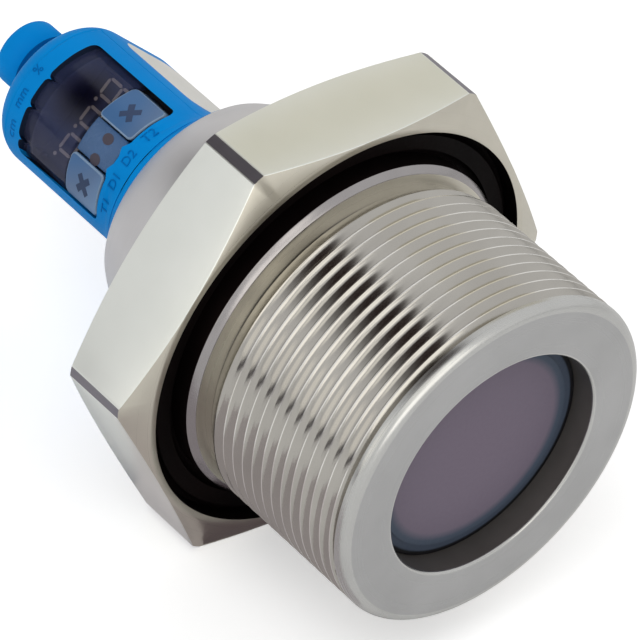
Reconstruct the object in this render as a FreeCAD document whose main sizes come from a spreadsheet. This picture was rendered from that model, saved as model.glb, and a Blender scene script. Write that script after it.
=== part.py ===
"""Ultrasonic level switch with a G 2 process thread and a display head.

Every piece is modelled on its own axis: z runs from the sensing face (z = 0) to the plug.
Pieces of the head are modelled with x pointing out of the display, y across it.
The placements lay the part on one flat of its hexagon, with the axis along +Y of the row.
"""
import FreeCAD
import Part
import math
import os
import re
import Sketcher

Vector = FreeCAD.Vector

doc = FreeCAD.newDocument("level_switch")
sheet = doc.addObject("Spreadsheet::Sheet", "dims")

# Driving dimensions in millimetres and degrees
DIMENSIONS = [
    ("thread_radius", 29.807, "G 2 pipe thread, crest radius"),
    ("thread_start", 2.5, "first turn, from the sensing face"),
    ("thread_end", 33.6, "end of the thread's run-out"),
    ("thread_runout", 1.2, "length of the run-out"),
    ("rim_bevel", 2.05, "bevel of the front rim, down to the thread's root"),
    ("bore_radius", 20.1, "front bore"),
    ("lip_bevel", 0.3, "bevel of the bore's lip"),
    ("relief_radius", 28.1, "relief behind the thread"),
    ("hub_front", 35.2, "front of the hub behind the thread"),
    ("hub_radius", 30.9, "hub inside the seal"),
    ("hub_bevel", 1.0, "bevel of the hub"),
    ("recess_radius", 36.2, "seal recess, outer wall"),
    ("recess_floor", 41.0, "seal recess, floor"),
    ("rim_radius", 37.3, "flat rim round the seal recess"),
    ("hex_flats", 75.0, "hexagon across flats"),
    ("corner_radius", 42.72, "turned corners of the hexagon"),
    ("corner_front", 38.6, "front end of a corner"),
    ("corner_rear", 50.3, "rear end of a corner"),
    ("front_slope", 17.4, "front chamfer of the hexagon"),
    ("rear_slope", 18.5, "rear chamfer of the hexagon"),
    ("shoulder_radius", 37.0, "flat rear face of the hexagon"),
    ("dome_radius", 23.39, "domed neck"),
    ("dome_centre", 58.42, "centre of the dome"),
    ("neck_radius", 19.4, "end face of the neck"),
    ("spigot_bore", 8.0, "bore for the head's spigot"),
    ("spigot_seat", 65.0, "floor of that bore"),
    ("sleeve_bore", 22.0, "rear bore of the sleeve, threaded for the neck"),
    ("sleeve_step", 9.0, "front step of that bore"),
    ("neck_front", 41.2, "front of the neck's threaded spigot"),
    ("neck_hole", 2.6, "wire hole of the neck"),
    ("seal_front", 38.6, "front of the process seal"),
    ("seal_round", 1.2, "rounding of the process seal"),
    ("seal_gap", 0.3, "gap outside the process seal"),
    ("face_depth", 4.4, "sensing disc below the rim"),
    ("disc_radius", 18.0, "sensing disc"),
    ("disc_rear", 8.4, "back of the sensing disc"),
    ("nose_radius", 19.95, "nose of the transducer cup"),
    ("cup_radius", 21.85, "transducer cup"),
    ("cup_wall", 1.6, "wall of the cup's nose"),
    ("cup_floor", 33.0, "inner floor of the cup"),
    ("cup_rear", 36.0, "rear face of the cup"),
    ("piezo_radius", 12.0, "ceramic disc"),
    ("piezo_rear", 10.6, "back of the ceramic disc"),
    ("groove_front", 25.0, "groove of the cup seal"),
    ("groove_width", 2.4, "width of a seal groove"),
    ("cord_radius", 1.0, "section radius of the seals"),
    ("lead_radius", 1.2, "lead to the board"),
    ("lead_hole", 2.0, "hole for the lead"),
    ("washer_rear", 37.0, "back of the clamp washer"),
    ("nut_rear", 41.0, "back of the ring nut behind the cup"),
    ("nut_hole", 12.0, "hole of the ring nut and its washer"),
    ("display_angle", -49.55, "display direction, from up towards +X"),
    ("head_apex", 19.3, "front and back of the head, from the axis"),
    ("flank_half", 12.8, "half width of the head"),
    ("front_round", 13.2, "middle of the head's front curve"),
    ("side_round", 12.6, "sides of the head's front curve"),
    ("flare_tall", 4.0, "height of the concave flare at the foot of the head"),
    ("flare_wide", 2.3, "width of that flare"),
    ("foot_round", 1.0, "corner rounding at the foot"),
    ("bend_centre", 6.5, "centre of the bent window parts, in front of the axis"),
    ("head_rear", 104.0, "rear face of the head"),
    ("rear_round", 4.5, "rounding of the head's rear edge"),
    ("cover_plane", 10.8, "plane where the cover meets the shell"),
    ("cover_front", 72.5, "front edge of the cover"),
    ("cover_rear", 100.0, "rear edge of the cover"),
    ("cover_gap", 0.15, "visible joint round the cover"),
    ("cover_seam", 0.03, "tight joint at the cover's rear edge"),
    ("cavity_half", 11.4, "half width of the shell's cavity"),
    ("cavity_back", 10.0, "cavity behind the axis"),
    ("cavity_front", 75.3, "front wall of the cavity"),
    ("cavity_rear", 97.6, "rear wall of the cavity"),
    ("ledge_plane", 6.2, "ledge that the cover rests on"),
    ("ledge_width", 0.9, "width of that ledge"),
    ("tongue_half", 11.35, "outer half width of the cover's tongue"),
    ("well_low", -10.3, "inner opening of the cover, towards T1"),
    ("well_high", 9.9, "inner opening of the cover, towards T2"),
    ("well_floor", 9.0, "floor of the window recess"),
    ("window_low", -10.8, "window opening, towards T1"),
    ("window_high", 10.4, "window opening, towards T2"),
    ("window_front", 76.35, "front edge of the window opening"),
    ("window_rear", 96.75, "rear edge of the window opening"),
    ("window_round", 1.0, "corner rounding of the window opening"),
    ("cusp_round", 1.0, "rounded flanks of the cusps on the window's rear edge"),
    ("cusp_middle", -3.4, "middle cusp"),
    ("cusp_pitch", 5.4, "spacing of the cusps"),
    ("tooth_tall", 0.75, "teeth of the window's front edge"),
    ("tooth_low", -2.8, "tooth beside key T1"),
    ("tooth_high", 1.4, "tooth beside key T2"),
    ("tooth_wide", 1.4, "width of a tooth's flank"),
    ("lens_front", 85.3, "front edge of the lens"),
    ("lens_radius", 12.3, "outer curve of the lens"),
    ("flange_radius", 11.8, "outer curve of the lens flange"),
    ("lens_back", 10.9, "inner curve of the lens"),
    ("pane_low", -9.6, "raised pane of the lens, towards T1"),
    ("pane_high", 9.1, "raised pane of the lens, towards T2"),
    ("pane_rear", 94.2, "rear edge of the raised pane"),
    ("lens_wall", 0.8, "side walls of the lens"),
    ("lens_gap", 0.1, "gap round the lens"),
    ("carrier_top", 10.2, "front of the key carrier"),
    ("key_radius", 12.5, "outer curve of the keys"),
    ("key_foot", 10.8, "underside of the keys"),
    ("key_front", 77.0, "front edge of the keys"),
    ("key_rear", 85.0, "rear edge of the keys"),
    ("left_key_low", -10.4, "outer edge of key T1"),
    ("left_key_high", -4.0, "inner edge of key T1"),
    ("right_key_low", 2.75, "inner edge of key T2"),
    ("right_key_high", 9.3, "outer edge of key T2"),
    ("key_edge", 0.35, "rounding of the keys"),
    ("key_corner", 0.9, "corner rounding of the keys"),
    ("stem_radius", 1.2, "stem under a key"),
    ("stem_hole", 1.6, "hole for a stem"),
    ("stem_end", 7.6, "end of a stem"),
    ("collar_radius", 2.1, "snap collar of a stem"),
    ("collar_gap", 0.1, "play above that collar"),
    ("bridge_radius", 11.7, "outer curve of the light guide"),
    ("bridge_low", -3.7, "light guide, towards T1"),
    ("bridge_high", 2.45, "light guide, towards T2"),
    ("bridge_front", 77.25, "front edge of the light guide"),
    ("lamp_radius", 0.8, "status lamps"),
    ("lamp_left", -2.9, "lamp D1"),
    ("lamp_right", 0.7, "lamp D2"),
    ("lamp_row", 80.8, "row of the status lamps"),
    ("board_top", 5.6, "front face of the main board"),
    ("board_thick", 1.6, "thickness of the boards"),
    ("board_front", 76.0, "front edge of the main board"),
    ("board_rear", 96.0, "rear edge of the main board"),
    ("module_low", -8.3, "display module, towards T1"),
    ("module_high", 8.4, "display module, towards T2"),
    ("module_front", 85.9, "display module, front edge"),
    ("module_rear", 93.6, "display module, rear edge"),
    ("module_top", 12.8, "face of the display module"),
    ("switch_half", 1.6, "half side of a key switch"),
    ("switch_top", 7.2, "top of a key switch"),
    ("unit_row", 94.55, "row of the unit lamps"),
    ("unit_half", 0.6, "half side of a unit lamp"),
    ("chip_half", 3.5, "half side of the processor"),
    ("chip_thick", 1.2, "height of the processor"),
    ("core_half", 4.0, "half side of the drive transformer"),
    ("core_tall", 2.6, "height of the drive transformer"),
    ("plug_radius", 6.0, "M12 plug collar"),
    ("plug_end", 117.8, "end of the plug collar"),
    ("plug_round", 0.9, "rounding of the plug's end"),
    ("undercut_radius", 5.4, "undercut of the plug collar"),
    ("undercut_front", 111.2, "undercut, head side"),
    ("undercut_rear", 112.4, "undercut, plug side"),
    ("socket_radius", 4.3, "inside of the plug collar"),
    ("insert_face", 110.0, "face of the plug insert"),
    ("pin_radius", 0.5, "contact pins"),
    ("pin_circle", 2.8, "circle of the contact pins"),
    ("pin_end", 116.5, "free end of the pins"),
    ("foot_spigot", 7.9, "spigot of the head"),
    ("foot_hole", 4.0, "wire hole of the spigot"),
    ("foot_groove", 67.0, "seal groove of the spigot"),
]
for row, (alias, value, note) in enumerate(DIMENSIONS, start=1):
    sheet.set(f"A{row}", note)
    sheet.set(f"B{row}", str(value))
    sheet.setAlias(f"B{row}", alias)
doc.recompute()

# Derived sizes, written once as formulas of the sheet
NECK_END = "(dome_centre + sqrt(dome_radius ^ 2 - neck_radius ^ 2))"
REAR_FACE = "(corner_rear + (corner_radius - shoulder_radius) * tan(rear_slope))"
RIM_FRONT = "(corner_front - (corner_radius - rim_radius) * tan(front_slope))"
DOME_FOOT = f"sqrt(dome_radius ^ 2 - ({REAR_FACE} - dome_centre) ^ 2)"
FLARE_TOP = f"({NECK_END} + flare_tall)"
KEY_CENTRE = {
    "key_t1": "(left_key_low + left_key_high) / 2",
    "key_t2": "(right_key_low + right_key_high) / 2",
}
KEY_ROW = "(key_front + key_rear) / 2"
CUSPS = {
    "cusp_cm": "(cusp_middle - cusp_pitch)",
    "cusp_mm": "(cusp_middle + 0)",
    "cusp_percent": "(cusp_middle + cusp_pitch)",
}

# The axis turned onto the row's +Y, and the same turned on to face the display
LAID_DOWN = FreeCAD.Rotation(Vector(1, 1, 1), -120)


def formula(text):
    """Name the sheet in front of each of its aliases, which all hold an underscore."""
    return re.sub(r"\b([a-z]+(?:_[a-z]+)+)\b", r"dims.\1", str(text))


def size(text):
    """Value of a formula of the sheet."""
    return float(sheet.evalExpression(formula(text)))


def bind(target, prop, text):
    target.setExpression(prop, formula(text))


PLACE_AXIS = FreeCAD.Placement(Vector(0, -size("thread_start"), 0), LAID_DOWN)
TURN_HEAD = FreeCAD.Rotation(Vector(0, 0, 1), size("display_angle"))
PLACE_HEAD = FreeCAD.Placement(Vector(0, -size("thread_start"), 0), LAID_DOWN.multiply(TURN_HEAD))


def new_body(label, placement):
    body = doc.addObject("PartDesign::Body", label)
    body.Label = label
    body.Placement = placement
    return body


def new_sketch(body, name, plane, offset="0"):
    """A sketch on one of the body's own origin planes, moved along its normal."""
    sketch = body.newObject("Sketcher::SketchObject", f"{body.Label}_{name}")
    support = next(item for item in body.Origin.OriginFeatures if item.Role == plane)
    sketch.AttachmentSupport = [(support, "")]
    sketch.MapMode = "FlatFace"
    bind(sketch, "AttachmentOffset.Base.z", offset)
    return sketch


def hold(sketch, kind, *where, text):
    """A dimension of the sketch, driven by a formula of the sheet."""
    index = sketch.addConstraint(Sketcher.Constraint(kind, *where, size(text)))
    bind(sketch, f"Constraints[{index}]", text)


def pin_down(sketch, edge, point, x, y):
    """Hold a point of the sketch at its distances from the two axes."""
    for kind, axis, text in (("DistanceX", -2, x), ("DistanceY", -1, y)):
        if abs(size(text)) < 1e-9:
            sketch.addConstraint(Sketcher.Constraint("PointOnObject", edge, point, axis))
        else:
            hold(sketch, kind, edge, point, text=text)


def arc_between(start, end, radius, turn):
    """The shorter arc from start to end that turns to the given side."""
    chord = end.sub(start)
    side = 1 if turn == "left" else -1
    normal = Vector(-chord.y, chord.x, 0).normalize()
    rise = math.sqrt(max(radius ** 2 - (chord.Length / 2) ** 2, 0))
    centre = start.add(chord * 0.5).add(normal * (side * rise))
    first, last = (start, end) if turn == "left" else (end, start)
    angles = [math.atan2(point.y - centre.y, point.x - centre.x) for point in (first, last)]
    return Part.ArcOfCircle(Part.Circle(centre, Vector(0, 0, 1), radius), *angles)


def outline(sketch, corners):
    """A closed outline. A corner is (x, y), or (x, y, radius, turn) where an arc leaves it."""
    points = [Vector(size(corner[0]), size(corner[1]), 0) for corner in corners]
    ends = []
    for place, corner in enumerate(corners):
        start = points[place]
        finish = points[(place + 1) % len(points)]
        if len(corner) == 2:
            edge = sketch.addGeometry(Part.LineSegment(start, finish))
            ends.append((edge, 1, 2))
        else:
            edge = sketch.addGeometry(arc_between(start, finish, size(corner[2]), corner[3]))
            ends.append((edge, 1, 2) if corner[3] == "left" else (edge, 2, 1))
    for place, (edge, head, _) in enumerate(ends):
        before, _, tail = ends[place - 1]
        sketch.addConstraint(Sketcher.Constraint("Coincident", before, tail, edge, head))
    for corner, (edge, head, _) in zip(corners, ends):
        pin_down(sketch, edge, head, corner[0], corner[1])
        if len(corner) > 2:
            hold(sketch, "Radius", edge, text=corner[2])


def rectangle(sketch, low_x, low_y, high_x, high_y):
    outline(sketch, [(low_x, low_y), (high_x, low_y), (high_x, high_y), (low_x, high_y)])


def circle(sketch, x, y, radius):
    edge = sketch.addGeometry(Part.Circle(Vector(size(x), size(y), 0), Vector(0, 0, 1), size(radius)))
    pin_down(sketch, edge, 3, x, y)
    hold(sketch, "Radius", edge, text=radius)


def feature(body, kind, name, sketch):
    item = body.newObject(f"PartDesign::{kind}", f"{body.Label}_{name}")
    item.Profile = sketch
    return item


def turned(body, name, corners, kind="Revolution"):
    """A profile of (radius, z) corners turned about the axis."""
    sketch = new_sketch(body, f"{name}_profile", "XZ_Plane")
    outline(sketch, corners)
    item = feature(body, kind, name, sketch)
    item.ReferenceAxis = (sketch, ["V_Axis"])
    item.Angle = 360
    doc.recompute()
    return item


def extruded(body, name, sketch, length, kind="Pad", backwards=False):
    """Pad or pocket of a given length. A pocket runs against the sketch's normal."""
    item = feature(body, kind, name, sketch)
    item.Type = "Length"
    bind(item, "Length", length)
    item.Reversed = backwards
    before = body.Shape.Volume if kind == "Pocket" else 0
    doc.recompute()
    if kind == "Pocket" and body.Shape.Volume > before - 1e-6:
        raise RuntimeError(f"{body.Label}: {name} cuts nothing")
    return item


def block(body, name, plane, offset, length, low_x, low_y, high_x, high_y, kind="Pad", backwards=False):
    """A rectangular pad or pocket."""
    sketch = new_sketch(body, f"{name}_outline", plane, offset)
    rectangle(sketch, low_x, low_y, high_x, high_y)
    return extruded(body, name, sketch, length, kind, backwards)


def rounded(body, name, test, radius):
    """A fillet on the edges of the piece so far that pass a test."""
    base = body.Tip
    edges = [f"Edge{number}" for number, edge in enumerate(base.Shape.Edges, start=1) if test(edge)]
    item = body.newObject("PartDesign::Fillet", f"{body.Label}_{name}")
    item.Base = (base, edges)
    bind(item, "Radius", radius)
    doc.recompute()
    return item


def seal_cord(label, placement, ring_radius, z):
    """An O-ring: a round section turned about the axis."""
    body = new_body(label, placement)
    sketch = new_sketch(body, "section", "XZ_Plane")
    circle(sketch, ring_radius, z, "cord_radius")
    item = feature(body, "Revolution", "ring", sketch)
    item.ReferenceAxis = (sketch, ["V_Axis"])
    item.Angle = 360
    doc.recompute()
    return body


def make_process_body():
    """Threaded sleeve and hexagon, turned and milled from one bar and bored from the rear."""
    body = new_body("process_body", PLACE_AXIS)
    turned(body, "turned_bar", [
        ("bore_radius + lip_bevel", "0"),
        ("thread_radius - rim_bevel", "0"),
        ("thread_radius", "rim_bevel"),
        ("thread_radius", "thread_end - thread_runout"),
        ("relief_radius", "thread_end"),
        ("relief_radius", "hub_front"),
        ("hub_radius - hub_bevel", "hub_front"),
        ("hub_radius", "hub_front + hub_bevel"),
        ("hub_radius", "recess_floor"),
        ("recess_radius", "recess_floor"),
        ("recess_radius", RIM_FRONT),
        ("rim_radius", RIM_FRONT),
        ("corner_radius", "corner_front"),
        ("corner_radius", "corner_rear"),
        ("shoulder_radius", REAR_FACE),
        ("sleeve_bore", REAR_FACE),
        ("sleeve_bore", "sleeve_step"),
        ("bore_radius", "sleeve_step"),
        ("bore_radius", "lip_bevel"),
    ])
    sketch = new_sketch(body, "hexagon", "XY_Plane")
    outline(sketch, hexagon("hex_flats"))
    circle(sketch, "0", "0", "corner_radius * 1.2")
    extruded(body, "flats", sketch, NECK_END, "Pocket", backwards=True)
    return body


def make_neck_dome():
    """Domed neck, screwed into the rear of the hexagon."""
    body = new_body("neck_dome", PLACE_AXIS)
    turned(body, "neck", [
        ("neck_hole", "neck_front"),
        ("sleeve_bore", "neck_front"),
        ("sleeve_bore", REAR_FACE),
        (DOME_FOOT, REAR_FACE, "dome_radius", "left"),
        ("neck_radius", NECK_END),
        ("spigot_bore", NECK_END),
        ("spigot_bore", "spigot_seat"),
        ("neck_hole", "spigot_seat"),
    ])


def hexagon(flats):
    """Corners of a hexagon with one flat facing x."""
    reach = f"{flats} / 2 / cos(30)"
    return [(f"{reach} * cos({30 + 60 * k})", f"{reach} * sin({30 + 60 * k})") for k in range(6)]


def make_process_seal():
    body = new_body("process_seal", PLACE_AXIS)
    turned(body, "ring", [
        ("hub_radius", "recess_floor"),
        ("hub_radius", "seal_front + seal_round", "seal_round", "right"),
        ("hub_radius + seal_round", "seal_front"),
        ("recess_radius - seal_gap - seal_round", "seal_front", "seal_round", "right"),
        ("recess_radius - seal_gap", "seal_front + seal_round"),
        ("recess_radius - seal_gap", "recess_floor"),
    ])


def make_transducer():
    """Sensing disc, its soft ring, the cup behind them and what the cup holds."""
    disc = new_body("matching_layer", PLACE_AXIS)
    turned(disc, "disc", [("0", "face_depth"), ("disc_radius", "face_depth"),
                          ("disc_radius", "disc_rear"), ("0", "disc_rear")])
    ring = new_body("face_ring", PLACE_AXIS)
    turned(ring, "ring", [("disc_radius", "face_depth + 0.2"), ("nose_radius", "face_depth + 0.2"),
                          ("nose_radius", "disc_rear"), ("disc_radius", "disc_rear")])
    cup = new_body("transducer_cup", PLACE_AXIS)
    turned(cup, "cup", [
        ("nose_radius - cup_wall", "disc_rear"),
        ("nose_radius", "disc_rear"),
        ("nose_radius", "sleeve_step + 0.2"),
        ("cup_radius", "sleeve_step + 0.2"),
        ("cup_radius", "groove_front"),
        ("sleeve_bore - 2 * cord_radius", "groove_front"),
        ("sleeve_bore - 2 * cord_radius", "groove_front + groove_width"),
        ("cup_radius", "groove_front + groove_width"),
        ("cup_radius", "cup_rear"),
        ("lead_hole", "cup_rear"),
        ("lead_hole", "cup_floor"),
        ("nose_radius - cup_wall", "cup_floor"),
    ])
    ceramic = new_body("piezo_disc", PLACE_AXIS)
    turned(ceramic, "disc", [("0", "disc_rear"), ("piezo_radius", "disc_rear"),
                             ("piezo_radius", "piezo_rear"), ("0", "piezo_rear")])
    foam = new_body("damping_block", PLACE_AXIS)
    turned(foam, "block", [
        ("piezo_radius", "disc_rear"),
        ("nose_radius - cup_wall", "disc_rear"),
        ("nose_radius - cup_wall", "cup_floor"),
        ("0", "cup_floor"),
        ("0", "piezo_rear"),
        ("piezo_radius", "piezo_rear"),
    ])
    seal_cord("cup_o_ring", PLACE_AXIS, "sleeve_bore - cord_radius", "groove_front + groove_width / 2")


def make_clamp():
    """Washer and ring nut that hold the cup in the sleeve, and the lead that passes them."""
    washer = new_body("clamp_washer", PLACE_AXIS)
    turned(washer, "ring", [("nut_hole", "cup_rear"), ("cup_radius", "cup_rear"),
                            ("cup_radius", "washer_rear"), ("nut_hole", "washer_rear")])
    nut = new_body("clamp_nut", PLACE_AXIS)
    turned(nut, "ring", [("nut_hole", "washer_rear"), ("sleeve_bore", "washer_rear"),
                         ("sleeve_bore", "nut_rear"), ("nut_hole", "nut_rear")])
    lead = new_body("sensor_lead", PLACE_AXIS)
    sketch = new_sketch(lead, "section", "XY_Plane", "cup_floor")
    circle(sketch, "0", "0", "lead_radius")
    extruded(lead, "lead", sketch, "board_rear - cup_floor")


def head_section(sketch, share):
    """Section of the head: round front and back between flat flanks. Share 1 is the foot, 0 the prism."""
    half = f"(flank_half + flare_wide * {share})"
    radius = f"(front_round + (neck_radius - front_round) * {share})"
    corner = f"(side_round + (foot_round - side_round) * {share})"
    tilt = f"asin(({half} - {corner}) / ({radius} - {corner}))"
    centre = f"(head_apex - {radius} + ({radius} - {corner}) * cos({tilt}))"
    front_x = f"(head_apex - {radius} + {radius} * cos({tilt}))"
    front_y = f"({radius} * sin({tilt}))"
    outline(sketch, [
        (front_x, f"-{front_y}", radius, "left"),
        (front_x, front_y, corner, "left"),
        (centre, half),
        (f"-{centre}", half, corner, "left"),
        (f"-{front_x}", front_y, radius, "left"),
        (f"-{front_x}", f"-{front_y}", corner, "left"),
        (f"-{centre}", f"-{half}"),
        (centre, f"-{half}", corner, "left"),
    ])


def head_form(body):
    """Outer form of the head: a flared foot, a straight prism and a rounded rear edge."""
    steps = []
    for step, rise in enumerate((0.0, 0.12, 0.3, 0.55, 1.0)):
        share = f"(1 - sqrt(1 - (1 - {rise}) ^ 2))"
        sketch = new_sketch(body, f"foot_{step}", "XY_Plane", f"{NECK_END} + flare_tall * {rise}")
        head_section(sketch, share)
        steps.append(sketch)
    foot = feature(body, "AdditiveLoft", "foot", steps[0])
    foot.Sections = steps[1:]
    foot.Ruled = True
    doc.recompute()
    sketch = new_sketch(body, "section", "XY_Plane", FLARE_TOP)
    head_section(sketch, "0")
    extruded(body, "prism", sketch, f"head_rear - {FLARE_TOP}")
    top = size("head_rear")
    rounded(body, "rear_edge", lambda edge: edge.BoundBox.ZMin > top - 1e-3, "rear_round")


def make_head_housing():
    """Rear shell of the head, with its foot spigot and the plug collar in one moulding."""
    body = new_body("head_housing", PLACE_HEAD)
    head_form(body)
    turned(body, "spigot", [
        ("foot_hole", "spigot_seat"),
        ("foot_spigot", "spigot_seat"),
        ("foot_spigot", "foot_groove"),
        ("spigot_bore - 2 * cord_radius", "foot_groove"),
        ("spigot_bore - 2 * cord_radius", "foot_groove + groove_width"),
        ("foot_spigot", "foot_groove + groove_width"),
        ("foot_spigot", NECK_END),
        ("foot_hole", NECK_END),
    ])
    turned(body, "plug_collar", [
        ("0", "head_rear - 1"),
        ("plug_radius", "head_rear - 1"),
        ("plug_radius", "undercut_front"),
        ("undercut_radius", "undercut_front"),
        ("undercut_radius", "undercut_rear"),
        ("plug_radius", "undercut_rear"),
        ("plug_radius", "plug_end - plug_round", "plug_round", "left"),
        ("plug_radius - plug_round", "plug_end"),
        ("0", "plug_end"),
    ])
    reach = "2 * head_apex"
    block(body, "cover_seat", "YZ_Plane", "cover_plane", reach,
          f"-{reach}", "cover_front", reach, "cover_rear", "Pocket", backwards=True)
    block(body, "cavity", "YZ_Plane", "ledge_plane", "cavity_back + ledge_plane",
          "-cavity_half", "cavity_front", "cavity_half", "cavity_rear", "Pocket")
    block(body, "ledge", "YZ_Plane", "cover_plane", "cover_plane - ledge_plane",
          "-cavity_half", "cavity_front - ledge_width", "cavity_half", "cavity_rear + ledge_width", "Pocket")
    sketch = new_sketch(body, "wire_way", "XY_Plane", "spigot_seat")
    circle(sketch, "0", "0", "foot_hole")
    extruded(body, "wire_hole", sketch, "cavity_front + 1 - spigot_seat", "Pocket", backwards=True)
    sketch = new_sketch(body, "socket_outline", "XY_Plane", "cavity_front + 10")
    circle(sketch, "0", "0", "socket_radius")
    extruded(body, "socket", sketch, "plug_end - cavity_front", "Pocket", backwards=True)


def make_display_bezel():
    """Front cover: a curved wall with the window opening, on a tongue that enters the shell."""
    body = new_body("display_bezel", PLACE_HEAD)
    head_form(body)
    reach = "2 * head_apex"
    block(body, "trim_front", "XZ_Plane", "head_apex", reach,
          f"-{reach}", "cover_front - head_apex", reach, "cover_front + cover_gap", "Pocket")
    block(body, "trim_rear", "XZ_Plane", "head_apex", reach,
          f"-{reach}", "cover_rear - cover_seam", reach, "head_rear + head_apex", "Pocket")
    block(body, "trim_back", "YZ_Plane", "cover_plane + cover_gap", reach,
          f"-{reach}", "cover_front - 1", reach, "cover_rear + 1", "Pocket")
    block(body, "tongue", "YZ_Plane", "ledge_plane", "cover_plane + 0.6 - ledge_plane",
          "-tongue_half", "cavity_front - ledge_width + 0.05",
          "tongue_half", "cavity_rear + ledge_width - 0.05")
    block(body, "well", "YZ_Plane", "ledge_plane", "well_floor - ledge_plane",
          "well_low", "window_front + 0.2", "well_high", "window_rear - 0.2", "Pocket", backwards=True)
    sketch = new_sketch(body, "opening", "YZ_Plane", "well_floor")
    window_outline(sketch)
    extruded(body, "window", sketch, "head_apex", "Pocket", backwards=True)


def window_outline(sketch):
    """Opening for the lens and the keys: a tooth beside each key, and a cusp at each unit lamp."""
    rear = []
    for cusp in reversed(CUSPS.values()):
        rear.append((f"{cusp} + cusp_round", "window_rear", "cusp_round", "left"))
        rear.append((cusp, "window_rear - cusp_round", "cusp_round", "left"))
        rear.append((f"{cusp} - cusp_round", "window_rear"))
    outline(sketch, [
        ("window_low + window_round", "window_front"),
        ("tooth_low - tooth_wide", "window_front"),
        ("tooth_low", "window_front + tooth_tall"),
        ("tooth_low + tooth_wide", "window_front + 0.1"),
        ("tooth_high - tooth_wide", "window_front + 0.1"),
        ("tooth_high", "window_front + tooth_tall"),
        ("tooth_high + tooth_wide", "window_front"),
        ("window_high - window_round", "window_front", "window_round", "left"),
        ("window_high", "window_front + window_round"),
        ("window_high", "window_rear - window_round", "window_round", "left"),
        ("window_high - window_round", "window_rear"),
        *rear[:-1],
        (rear[-1][0], "window_rear", "window_round", "left"),
        ("window_low", "window_rear - window_round"),
        ("window_low", "window_front + window_round", "window_round", "left"),
    ])


def upright(edge):
    """Edges that run straight out of the display."""
    box = edge.BoundBox
    return box.XLength > 0.5 and box.YLength < 1e-4 and box.ZLength < 1e-4


def curved_section(sketch, low, high, outer, foot):
    """A section with a flat foot and a top bent round the centre of the window parts."""
    edge_low = f"bend_centre + sqrt({outer} ^ 2 - ({low}) ^ 2)"
    edge_high = f"bend_centre + sqrt({outer} ^ 2 - ({high}) ^ 2)"
    outline(sketch, [(foot, low), (edge_low, low, outer, "left"), (edge_high, high), (foot, high)])


def curved_block(body, name, low, front, high, rear, outer, foot):
    sketch = new_sketch(body, f"{name}_section", "XY_Plane", front)
    curved_section(sketch, low, high, outer, foot)
    return extruded(body, name, sketch, f"{rear} - {front}")


def make_display_window():
    """Smoked lens: a raised pane on a flange whose rear edge follows the cusps of the opening."""
    body = new_body("display_window", PLACE_HEAD)
    low = "(window_low + lens_gap)"
    high = "(window_high - lens_gap)"
    rear = "(window_rear - lens_gap)"
    curved_block(body, "flange", low, "lens_front", high, rear, "flange_radius", "carrier_top")
    end = size(rear)
    rounded(body, "corners", lambda edge: upright(edge) and edge.BoundBox.ZMin > end - 0.01,
            "window_round - 2 * lens_gap")
    curved_block(body, "pane", "pane_low", "lens_front", "pane_high", "pane_rear", "lens_radius", "carrier_top + 0.2")
    for name, cusp in CUSPS.items():
        sketch = new_sketch(body, f"{name}_outline", "YZ_Plane", "carrier_top")
        round_off = "(cusp_round - lens_gap)"
        tip = "window_rear - cusp_round"
        outline(sketch, [
            (f"{cusp} + cusp_round", rear, round_off, "left"),
            (f"{cusp} + lens_gap", tip),
            (f"{cusp} + lens_gap", f"{tip} - lens_gap"),
            (f"{cusp} - lens_gap", f"{tip} - lens_gap"),
            (f"{cusp} - lens_gap", tip, round_off, "left"),
            (f"{cusp} - cusp_round", rear),
            (f"{cusp} - cusp_round", f"{rear} + 1"),
            (f"{cusp} + cusp_round", f"{rear} + 1"),
        ])
        extruded(body, name, sketch, "head_apex", "Pocket", backwards=True)
    sketch = new_sketch(body, "hollow_section", "XY_Plane", "lens_front")
    curved_section(sketch, f"{low} + lens_wall", f"{high} - lens_wall", "lens_back", "carrier_top")
    extruded(body, "hollow", sketch, "window_rear - lens_front - cusp_round - 0.4", "Pocket", backwards=True)


def make_key(label, low, high):
    """A translucent key with a curved top and a stem that reaches its switch."""
    body = new_body(label, PLACE_HEAD)
    curved_block(body, "block", low, "key_front", high, "key_rear", "key_radius", "key_foot")
    rounded(body, "corners", upright, "key_corner")
    foot = size("key_foot")
    rounded(body, "top_edges", lambda edge: edge.BoundBox.XMin > foot + 0.1, "key_edge")
    sketch = new_sketch(body, "stem_section", "YZ_Plane", "stem_end")
    circle(sketch, KEY_CENTRE[label], KEY_ROW, "stem_radius")
    extruded(body, "stem", sketch, "key_foot - stem_end + 0.5")
    sketch = new_sketch(body, "collar_section", "YZ_Plane", "stem_end")
    circle(sketch, KEY_CENTRE[label], KEY_ROW, "collar_radius")
    extruded(body, "collar", sketch, "well_floor - collar_gap - stem_end")


def make_key_bridge():
    body = new_body("key_bridge", PLACE_HEAD)
    curved_block(body, "block", "bridge_low", "bridge_front", "bridge_high", "lens_front - lens_gap",
                 "bridge_radius", "carrier_top")
    front = size("lens_front") - 1
    rounded(body, "corners", lambda edge: upright(edge) and edge.BoundBox.ZMin < front, "key_corner")
    foot = size("carrier_top")
    rounded(body, "top_edges", lambda edge: edge.BoundBox.XMin > foot + 0.1, "key_edge")


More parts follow.
